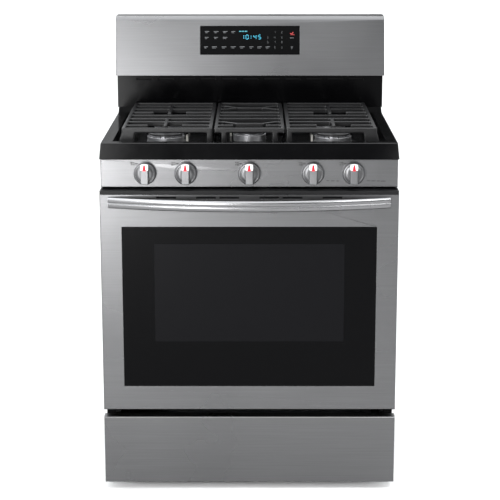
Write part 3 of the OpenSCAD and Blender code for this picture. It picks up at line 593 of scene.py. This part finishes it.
def stand_in(piece, node, material):
    """Finishes a piece that takes the place of one CAD node: it goes on that node's body with the
    material given, and the node is hidden.
    """
    finished(piece, node + "_finished", material, BODY_OF[node])
    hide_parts(node)
    return piece


def along_fold(a, b, low, high):
    """True for an upright outer edge of a sheet's front face, where its side is folded back."""
    front = max(a.y, b.y) < low.y + 40 * MM
    upright = abs(a.z - b.z) > 20 * MM
    side = min(abs(a.x), abs(b.x)) > high.x - 0.1 * MM
    return front and side and upright


def fold_edges(obj, test, width, segments=4):
    """Rounds only the edges whose two ends pass the test."""
    active(obj)
    bpy.ops.object.mode_set(mode="EDIT")
    bpy.ops.mesh.select_mode(type="EDGE")
    bpy.ops.mesh.select_all(action="DESELECT")
    mesh = bmesh.from_edit_mesh(obj.data)
    for edge in mesh.edges:
        a, b = edge.verts
        edge.select = test(a.co, b.co) and edge.calc_face_angle(0) > math.radians(35)
    mesh.select_flush_mode()
    bmesh.update_edit_mesh(obj.data)
    bpy.ops.mesh.bevel(offset=width, segments=segments, affect="EDGES", clamp_overlap=False,
                       face_strength_mode="ALL")
    leave_edit()
    return obj


def softened(node, width, segments=2, angle=35, smooth_angle=40, fold=None):
    """A copy of a CAD node, with its edges rounded, that stands for the node."""
    new = merged_copy(node)
    if fold:
        fold_edges(new, fold, 2.4 * MM)
    round_edges(new, width, segments, angle)
    smooth(new, smooth_angle)
    return stand_in(new, node, FINISH_OF_SLOT[SLOT_OF[node]])


def paint_frame_nodes():
    """Every CAD node that stays gets its slot's finish."""
    for name, obj in NODES.items():
        obj.data.materials.clear()
        obj.data.materials.append(FINISH_OF_SLOT[SLOT_OF[name]])
        for polygon in obj.data.polygons:
            polygon.material_index = 0


# ------------------------------------------------------------------ knobs

KNOB_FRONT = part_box("knob_1")[0].y
KNOB_R = (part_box("knob_1")[1].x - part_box("knob_1")[0].x) / 2
GRIP_HALF = 9.3 * MM     # half the width of the grip bar
GRIP_DEPTH = 14 * MM     # the bar's front to its back, just inside the skirt
GRIP_FOOT = -24 * MM     # the bar's lower end, from the knob's middle
TIP_HEIGHT = 12 * MM     # where the tip painted white as a highlight starts, from the knob's middle
POINTER_HALF = 4.6 * MM
POINTER_LOW, POINTER_HIGH = 11 * MM, 26.2 * MM


def step_face(obj, thickness, forward):
    """Insets the front face that is selected and moves it, as on a lathe."""
    if thickness:
        bpy.ops.mesh.inset(thickness=thickness)
    if forward:
        bpy.ops.transform.translate(value=(0, -forward, 0))


def turned_disc(centre, radius, back_y, front_y, sides=64):
    """A disc whose axis runs along Y, ready to be shaped from its front face."""
    disc = new_rod((centre.x, back_y, centre.z), (centre.x, front_y, centre.z), radius, sides)
    pick_faces(disc, lambda c, n: n.y < -0.9)
    return disc


def knob_skirt(centre, back_y):
    """Low skirt: a rolled lip, a hollow ring and the cone that the bar stands on."""
    skirt = turned_disc(centre, KNOB_R - 0.8 * MM, back_y, back_y - 4 * MM)
    bpy.ops.mesh.extrude_region_move(TRANSFORM_OT_translate={"value": (0, -5 * MM, 0)})
    step_face(skirt, 1.6 * MM, 1.6 * MM)
    step_face(skirt, 2.6 * MM, 0.6 * MM)
    step_face(skirt, 1.4 * MM, -0.9 * MM)
    step_face(skirt, 2.5 * MM, 0.9 * MM)
    step_face(skirt, 5.5 * MM, 1.4 * MM)
    leave_edit()
    round_edges(skirt, 0.5 * MM, 2, 20)
    return smooth(skirt, 50)


def cut(obj, where, normal, keep_below=True):
    """Cuts the mesh at a plane and closes it. What lies along the normal goes."""
    active(obj)
    bpy.ops.object.mode_set(mode="EDIT")
    bpy.ops.mesh.select_all(action="SELECT")
    bpy.ops.mesh.bisect(plane_co=where, plane_no=normal, use_fill=True,
                        clear_outer=keep_below, clear_inner=not keep_below)
    leave_edit()
    return obj


def knob_bar(centre, back_y, low, high):
    """The part of the grip bar between two heights, measured from the knob's middle."""
    bar = turned_disc(centre, KNOB_R - 1.2 * MM, back_y, KNOB_FRONT)
    leave_edit()
    for side in (-1, 1):
        cut(bar, (centre.x + side * GRIP_HALF, 0, centre.z), (side, 0, 0))
    cut(bar, (centre.x, 0, centre.z + high), (0, 0, 1))
    cut(bar, (centre.x, 0, centre.z + low), (0, 0, -1))
    return bar


def make_knobs():
    """Five turned knobs, each a skirt, a grip bar, a tip painted white as a highlight, and a red
    pointer.
    """
    for i in range(1, 6):
        node, body = f"knob_{i}", f"knob_{i}_body"
        low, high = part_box(node)
        centre = (low + high) / 2
        bar_back = KNOB_FRONT + GRIP_DEPTH
        skirt = knob_skirt(centre, high.y)
        finished(skirt, node + "_skirt", KNOB_SILVER, body)
        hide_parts(node)

        grip = knob_bar(centre, bar_back, GRIP_FOOT, TIP_HEIGHT)
        round_edges(grip, 1.4 * MM, 3)
        finished(smooth(grip), node + "_grip", KNOB_FACE, body)

        # The bar's top end, painted white as a highlight where light from above catches it
        tip = knob_bar(centre, bar_back, TIP_HEIGHT + 0.1 * MM, KNOB_R)
        round_edges(tip, 1.5 * MM, 3)
        finished(smooth(tip), node + "_tip", KNOB_TIP_HIGHLIGHT, body)

        pointer = new_box((centre.x - POINTER_HALF, KNOB_FRONT - 0.35 * MM, centre.z + POINTER_LOW),
                          (centre.x + POINTER_HALF, KNOB_FRONT + 3 * MM, centre.z + POINTER_HIGH))
        pick_faces(pointer, lambda c, n: n.z > 0.9)
        bpy.ops.transform.resize(value=(0.45, 1, 1), center_override=(centre.x, 0, centre.z))
        leave_edit()
        round_edges(pointer, 0.4 * MM, 2, 20)
        finished(smooth(pointer), node + "_pointer", POINTER_RED, body)


# ------------------------------------------------------------------ handle

# The bar's section, as (back, up) in millimetres: the upper strip, the groove, the lower strip
HANDLE_SECTION = [(15, 10.5), (8, 13.9), (5, 14.4), (2.6, 13.6), (1.0, 11.6), (0.2, 8.6), (0.0, 6.2),
                  (0.4, 3.4), (1.4, 1.6), (2.9, 0.9), (2.9, -0.6), (1.9, -1.3), (1.3, -2.4),
                  (1.2, -5.5), (2.2, -9.6), (4.2, -12.6), (7, -14.2), (10, -13.6), (15, -10.5)]
HANDLE_END_DEPTH = 9 * MM   # how far the bar's ends stand out from the door
PAST_THE_ENDS = 1.03        # the sweep runs a little past the ends, which are then cut square


def make_handle():
    """A bowed bar of two strips with a groove between them, swept along an arc and cut at the door."""
    low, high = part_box("door_handle")
    half, front, wall, z = high.x, low.y, high.y, (low.z + high.z) / 2
    bow = (wall - front) - HANDLE_END_DEPTH
    radius = (half * half + bow * bow) / (2 * bow)
    centre = Vector((0, front + radius, z))
    sweep = math.asin(half / radius) * PAST_THE_ENDS
    bar = outline([Vector((0, front + back * MM, z + up * MM)) for back, up in HANDLE_SECTION], "NGON")
    bar.data.transform(Matrix.Translation(centre) @ Matrix.Rotation(sweep, 4, "Z")
                       @ Matrix.Translation(-centre))
    spun(bar, 96, 2 * sweep, centre)
    cut(bar, (0, wall, 0), (0, 1, 0))
    for side in (-1, 1):
        cut(bar, (side * half, 0, 0), (side, 0, 0))
    round_edges(bar, 0.8 * MM, 2, 50)
    finished(smooth(bar, 35), "door_handle_bar", HANDLE_STEEL, "oven_door")
    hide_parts("door_handle")


# ------------------------------------------------------------------ touch panel and prints

GUARD_LEAN, GUARD_RISE = 36, 163   # the backguard's face leans back this much over this height


def glass_frame():
    """Place and turn of the touch glass: X across, Y up the slope, Z out of the face."""
    corners = [v.co for v in NODES["touch_glass"].data.vertices]
    low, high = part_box("touch_glass")
    slope = math.atan2(GUARD_LEAN, GUARD_RISE)
    out = Vector((0, -math.cos(slope), math.sin(slope)))
    face = max(corner.dot(out) for corner in corners)
    middle = (low + high) / 2
    middle += out * (face - middle.dot(out))
    up = Vector((0, math.sin(slope), math.cos(slope)))
    return Matrix(((1, 0, 0, 0), (0, up.y, out.y, middle.y), (0, up.z, out.z, middle.z), (0, 0, 0, 1)))


def flat_bar(u, v, width, height, rise=0.12, radius=0.3):
    """A small printed bar with soft corners, drawn flat and centred at u, v. Millimetres."""
    bar = new_box(((u - width / 2) * MM, (v - height / 2) * MM, 0.01 * MM),
                  ((u + width / 2) * MM, (v + height / 2) * MM, rise * MM))
    return round_edges(bar, min(radius, height / 3) * MM, 2, 60) if radius else bar


GLASS = glass_frame()
GLASS_HALF_HEIGHT = 40.5 * MM
SURROUND_WIDE = 5 * MM
PRINT_RISE = 0.08   # millimetres that the panel's print stands proud
# Which bars each seven-segment figure lights, a on top, then clockwise, and g across the middle
SEGMENTS = {"0": "abcdef", "1": "bc", "2": "abged", "3": "abgcd", "4": "fgbc", "5": "afgcd",
            "6": "afgecd", "7": "abc", "8": "abcdefg", "9": "abcdfg"}


def digit_bars(figure, u, v, width, height, stroke):
    """One seven-segment figure, as bars with gaps between them."""
    w, h, gap = width / 2, height / 2, stroke * 0.3
    spots = {"a": (0, h, 1), "g": (0, 0, 1), "d": (0, -h, 1), "f": (-w, h / 2, 0), "b": (w, h / 2, 0),
             "e": (-w, -h / 2, 0), "c": (w, -h / 2, 0)}
    bars = []
    for segment in SEGMENTS[figure]:
        x, y, flat = spots[segment]
        size = (width - stroke - gap, stroke) if flat else (stroke, h - stroke - gap)
        bars.append(flat_bar(u + x, v + y, *size, radius=0.25))
    return bars


def lay_on_glass(bars, name, material):
    """Joins marks drawn flat into one piece and lays it on the touch glass."""
    piece = joined(bars)
    piece.data.transform(GLASS)
    finished(piece, name, material, "range_body")


# Places on the glass are millimetres across and up from its middle.

def make_clock():
    """Four lit figures with a colon, and the small lit mode mark above them."""
    clock = []
    for figure, u in zip("1045", (-21, -8, 14, 27)):
        clock += digit_bars(figure, u, 9.5, 7, 11.5, 1.7)
    clock += [flat_bar(3, 12, 1.8, 1.8), flat_bar(3, 6.5, 1.8, 1.8)]
    lay_on_glass(clock, "clock_figures", CYAN_LIGHT)
    mode = [flat_bar(-28, 25.5, 5, 3), flat_bar(-20, 25.5, 8, 3), flat_bar(-11, 25.5, 7, 3)]
    lay_on_glass(mode, "mode_marks", CYAN_DIM)


def make_key_legends():
    """Three rows of two-line marks, one for each key, and two keys at the right end."""
    legends = []
    rows = [(23, (-121, -95, -70, -47)), (6.5, (-122, -96, -70)),
            (-20, (-124, -100, -73, -47, -22, 4, 27, 50))]
    for v, places in rows:
        for u in places:
            wide = random.uniform(11, 15)
            legends.append(flat_bar(u, v + 2, wide, 1.7))
            legends.append(flat_bar(u - 1.5, v - 1.4, wide * random.uniform(0.5, 0.75), 1.4))
    legends.append(flat_bar(118, 7, 11, 1.7))
    legends += [flat_bar(118, -18.5, 6, 1.6), flat_bar(118, -21.5, 3.5, 1.6)]
    legends.append(flat_bar(118, -24, 1.6, 1.4))
    lay_on_glass(legends, "key_legends", PALE_PRINT)


def make_number_pad():
    """Ten figures and a red stop mark on the touch glass."""
    pad = []
    places = [(70, 23), (90, 23), (50, 8), (70, 8), (90, 8), (50, -5), (70, -5), (90, -5),
              (70, -20), (90, -20)]
    for figure, (u, v) in zip("1234567890", places):
        pad += digit_bars(figure, u, v, 3.0, 5.0, 0.8)
    lay_on_glass(pad, "number_pad", PALE_PRINT)
    stop = [flat_bar(117, 19, 8, 2.4), flat_bar(121, 22, 3, 3), flat_bar(120, 16, 11, 1.6)]
    lay_on_glass(stop, "stop_mark", RED_LIGHT)


def make_touch_surround():
    """A low raised frame pressed into the steel round the glass."""
    low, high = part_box("touch_glass")
    half_w, half_h = (high.x - low.x) / 2 + SURROUND_WIDE, GLASS_HALF_HEIGHT + SURROUND_WIDE
    surround = new_box((-half_w, -half_h, 0), (half_w, half_h, 1.3 * MM))
    pick_faces(surround, lambda c, n: abs(n.z) > 0.9)
    bpy.ops.mesh.inset(thickness=SURROUND_WIDE - 0.6 * MM)
    bpy.ops.mesh.bridge_edge_loops()
    leave_edit()
    round_edges(surround, 0.5 * MM, 3)
    surround.data.transform(GLASS)
    finished(smooth(surround), "touch_surround", STAINLESS, "range_body")


def burner_mark(i, u, v):
    """Four squares that stand for the burners, the larger ones for the burners that knob i feeds."""
    bars = []
    for column in (0, 1):
        for row in (0, 1):
            filled = (i < 3) == (column == 0) and (i in (1, 5)) == (row == 0)
            size = 5.0 if filled else 3.2
            bars.append(flat_bar(u + column * 5.2, v - row * 5.2, size, size, PRINT_RISE))
    bars.append(flat_bar(u + 12, v - 2.6, 7, 3.4, PRINT_RISE))
    return bars


def make_panel_prints():
    """Small dark marks on the control panel: a burner mark by each knob, two settings by the last."""
    face_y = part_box("control_panel")[0].y
    onto_panel = Matrix(((1, 0, 0, 0), (0, 0, -1, face_y), (0, 1, 0, 0), (0, 0, 0, 1)))
    settings = {4: (7, 9, 6), 5: (8, 11, 7, 12)}
    bars = []
    for i in range(1, 6):
        low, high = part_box(f"knob_{i}")
        x, z = (low.x + high.x) / 2 / MM, (low.z + high.z) / 2 / MM
        bars += burner_mark(i, x - 34, z + 27)
        for step, wide in enumerate(settings.get(i, ())):
            bars.append(flat_bar(x + 38 + step * 12.5, z - 19 - step * 0.4, wide, 2.8, PRINT_RISE))
    piece = joined(bars)
    piece.data.transform(onto_panel)
    finished(piece, "knob_legends", DARK_PRINT, "range_body")


# ------------------------------------------------------------------ burners, pan and screws

PAN_Z = 0.895
# Each round burner's middle and the radius of its head
BURNERS = [(x, y, r) for x in (-0.218, 0.218) for y, r in ((-0.132, 0.048), (0.096, 0.043))]


def spun_ring(centre, radius, section, steps=72):
    """A closed ring: a section of (outward, up) points in millimetres turned about Z."""
    x, y, z = centre
    ring = outline([Vector((x + radius + out * MM, y, z + up * MM)) for out, up in section], "NOTHING")
    return spun(ring, steps, 2 * math.pi, centre)


def make_pan_details():
    """Raised beads pressed into the pan round each burner, and ringed burner bases."""
    bead = [(-5, -0.4), (-2.6, 0.7), (-1, 1.3), (1, 1.3), (2.6, 0.7), (5, -0.4)]
    skirt = [(0.2, 0.2), (3.4, 0.2), (3.2, 1.6), (1.2, 3.4), (0.4, 8), (0.2, 8)]
    beads, skirts = [], []
    for x, y, r in BURNERS:
        beads.append(spun_ring((x, y, PAN_Z), r + 17 * MM, bead))
        skirts.append(spun_ring((x, y, PAN_Z), r, skirt))
    finished(smooth(joined(beads), 60), "pan_beads", BLACK_ENAMEL, "range_body")
    finished(smooth(joined(skirts), 60), "burner_skirts", BURNER_ALLOY, "range_body")


def make_screws():
    """Pan-head screws with a cross recess, where the plain heads are."""
    heads = []
    places = [(x, "rear_panel", z) for x in (-350, -175, 0, 175, 350) for z in (250, 560, 860)]
    places += [(x, "backguard_rear_cover", z)
               for x in (-360, -180, 0, 180, 360) for z in (920, 1170)]
    for x, node, z in places:
        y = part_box(node)[1].y
        head = new_rod((x * MM, y - 0.3 * MM, z * MM), (x * MM, y + 1.3 * MM, z * MM), 4 * MM, 20)
        pick_faces(head, lambda c, n: n.y > 0.9)
        bpy.ops.mesh.inset(thickness=0.8 * MM)
        bpy.ops.transform.translate(value=(0, 0.5 * MM, 0))
        bpy.ops.mesh.inset(thickness=1.5 * MM)
        bpy.ops.mesh.extrude_region_move(TRANSFORM_OT_translate={"value": (0, -0.9 * MM, 0)})
        leave_edit()
        heads.append(head)
    piece = joined(heads)
    finished(smooth(piece, 50), "screw_heads", ZINC, "range_body")
    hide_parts("screws")


# ------------------------------------------------------------------ pieces

def make_sheet_metal():
    """Skins and cases: folded edges get a small radius."""
    for node in ("door_skin", "drawer_front", "control_panel", "backguard_panel"):
        low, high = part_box(node)
        softened(node, 0.5 * MM, segments=2, fold=lambda a, b: along_fold(a, b, low, high))
    for node in ("backguard_riser", "left_side_panel", "right_side_panel", "rear_panel",
                 "backguard_rear_cover", "front_frame", "door_liner", "door_top_cap",
                 "touch_glass", "oven_floor", "hinge_arms", "door_glass_outer"):
        softened(node, 0.5 * MM)


def duct_plate(name, node, half, behind, bottom, top, lip):
    """A dark plate behind a row of slots in node. Its near-black paint is painted shade for the dark
    inside the duct. bottom and top are measured down from the node's top edge, and lip is how far back
    and down the lower edge is bent."""
    low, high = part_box(node)
    plate = new_box((-half, low.y + behind, high.z - bottom),
                    (half, low.y + behind + 1 * MM, high.z - top))
    pick_faces(plate, lambda c, n: n.z < -0.9)
    bpy.ops.mesh.extrude_region_move(TRANSFORM_OT_translate={"value": (0, lip[0], -lip[1])})
    leave_edit()
    round_edges(plate, 0.3 * MM)
    finished(smooth(plate), name, CHASSIS_PAINT, BODY_OF[node])


def make_duct_plates():
    """The air ducts that the slots in the riser and over the door handle breathe through, as near-black
    plates: painted shade for the dark inside them.
    """
    riser_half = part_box("backguard_riser")[1].x - 4 * MM
    duct_plate("riser_baffle", "backguard_riser", riser_half, 6 * MM, 34 * MM, 0.5 * MM,
               (12 * MM, 14 * MM))
    duct_plate("vent_baffle", "door_skin", 0.35, 4 * MM, 26 * MM, 6 * MM, (9 * MM, 8 * MM))


def make_cooktop():
    """The pan, the burners and the rings round the knobs, with rounded edges."""
    softened("cooktop", 0.9 * MM, segments=3)
    softened("burner_heads", 0.6 * MM)
    softened("burner_caps", 0.9 * MM, segments=3)
    softened("knob_bezels", 0.4 * MM)


def make_grates():
    """Cast bars: the grate's own shape, with its edges and corners flowing into each other."""
    for side in ("left", "centre", "right"):
        node = "grate_" + side
        grate = merged_copy(node)
        apply_modifier(grate, "REMESH", mode="VOXEL", voxel_size=1.7 * MM)
        apply_modifier(grate, "SMOOTH", factor=0.5, iterations=3)
        apply_modifier(grate, "DECIMATE", ratio=0.4)
        stand_in(smooth(grate, 180), node, CAST_IRON)


def place_lights():
    """Soft boxes to the left for the front's slow fade, and weaker ones above and to the right."""
    def soft_box(name, location, target, width, height, power):
        data = bpy.data.lights.new(name, "AREA")
        data.shape = "RECTANGLE"
        data.size, data.size_y = width, height
        data.energy = power
        light = bpy.data.objects.new(name, data)
        bpy.context.scene.collection.objects.link(light)
        light.location = location
        light.rotation_euler = (Vector(target) - Vector(location)).to_track_quat("-Z", "Y").to_euler()
        light.visible_camera = False

    soft_box("left_box", (-1.5, -4.4, 1.9), (-0.2, -0.3, 1.0), 1.4, 1.4, 142)
    soft_box("left_low_box", (-1.3, -4.8, 0.5), (-0.2, -0.3, 0.8), 0.9, 1.0, 98)
    soft_box("right_pool", (0.62, -0.85, 1.1), (0.62, -0.85, 0), 0.35, 0.35, 6)
    soft_box("left_high_box", (-2.4, -4.2, 3.4), (-0.2, 0, 1.0), 2.0, 1.6, 5)
    soft_box("overhead_box", (0, 0, 3.6), (0, 0, 0), 3.0, 3.0, 7)
    soft_box("right_box", (3.2, -1.5, 1.2), (0.3, -0.2, 0.7), 1.6, 2.0, 34)

    sun_data = bpy.data.lights.new("even_light", "SUN")
    sun_data.energy = 0.3
    sun_data.angle = math.radians(100)
    sun = bpy.data.objects.new("even_light", sun_data)
    bpy.context.scene.collection.objects.link(sun)
    sun.rotation_euler = (math.radians(-20), 0, 0)
    make_studio_walls()


EVEN_ROOM_LIGHT = 1.32


def make_studio_walls():
    """An even white room for the floor, and for shiny parts a bright ceiling and left wall."""
    world = bpy.data.worlds.new("studio")
    bpy.context.scene.world = world
    world.use_nodes = True
    tree = world.node_tree
    where = tree.nodes.new("ShaderNodeTexCoord")
    split = tree.nodes.new("ShaderNodeSeparateXYZ")
    rays = tree.nodes.new("ShaderNodeLightPath")
    tree.links.new(where.outputs["Generated"], split.inputs["Vector"])

    def fade(axis, start, end, brightness):
        span = tree.nodes.new("ShaderNodeMapRange")
        span.interpolation_type = "SMOOTHSTEP"
        span.inputs["From Min"].default_value = start
        span.inputs["From Max"].default_value = end
        span.inputs["To Max"].default_value = brightness
        tree.links.new(split.outputs[axis], span.inputs["Value"])
        return span.outputs["Result"]

    left_wall = fade("X", start=0.1, end=-0.6, brightness=2.6)
    ceiling = fade("Z", start=0.2, end=0.7, brightness=4.2)
    shiny = maths(tree, "ADD", left_wall, ceiling)
    shiny = maths(tree, "MULTIPLY", shiny, rays.outputs["Is Glossy Ray"])
    matt = maths(tree, "MULTIPLY", rays.outputs["Is Diffuse Ray"], EVEN_ROOM_LIGHT)
    seen = maths(tree, "ADD", rays.outputs["Is Camera Ray"], maths(tree, "ADD", shiny, matt))
    tree.links.new(seen, tree.nodes["Background"].inputs["Strength"])
    tree.nodes["Background"].inputs["Color"].default_value = (0.97, 0.985, 1.0, 1)


def make_floor():
    """A wide pale floor under the feet, with faint patches."""
    bpy.ops.mesh.primitive_plane_add(size=120, location=(0, 0, 0))
    floor = bpy.context.object
    floor.name = "floor"
    finish = Finish("pale_floor", (0.86, 0.86, 0.86), roughness=0.85)
    pebble = finish.group(PEBBLE, Size=3)
    finish.colours(pebble["Patches"], (0.85, 0.85, 0.85), (0.88, 0.88, 0.88))
    floor.data.materials.append(finish.material)


# ------------------------------------------------------------------ build

add_camera()
bpy.ops.object.select_all(action="DESELECT")
paint_frame_nodes()
make_sheet_metal()
make_cooktop()
make_grates()
make_knobs()
make_handle()
make_clock()
make_key_legends()
make_number_pad()
make_touch_surround()
make_panel_prints()
make_pan_details()
make_screws()
make_duct_plates()
make_floor()
place_lights()
bpy.context.scene.view_settings.view_transform = "Standard"
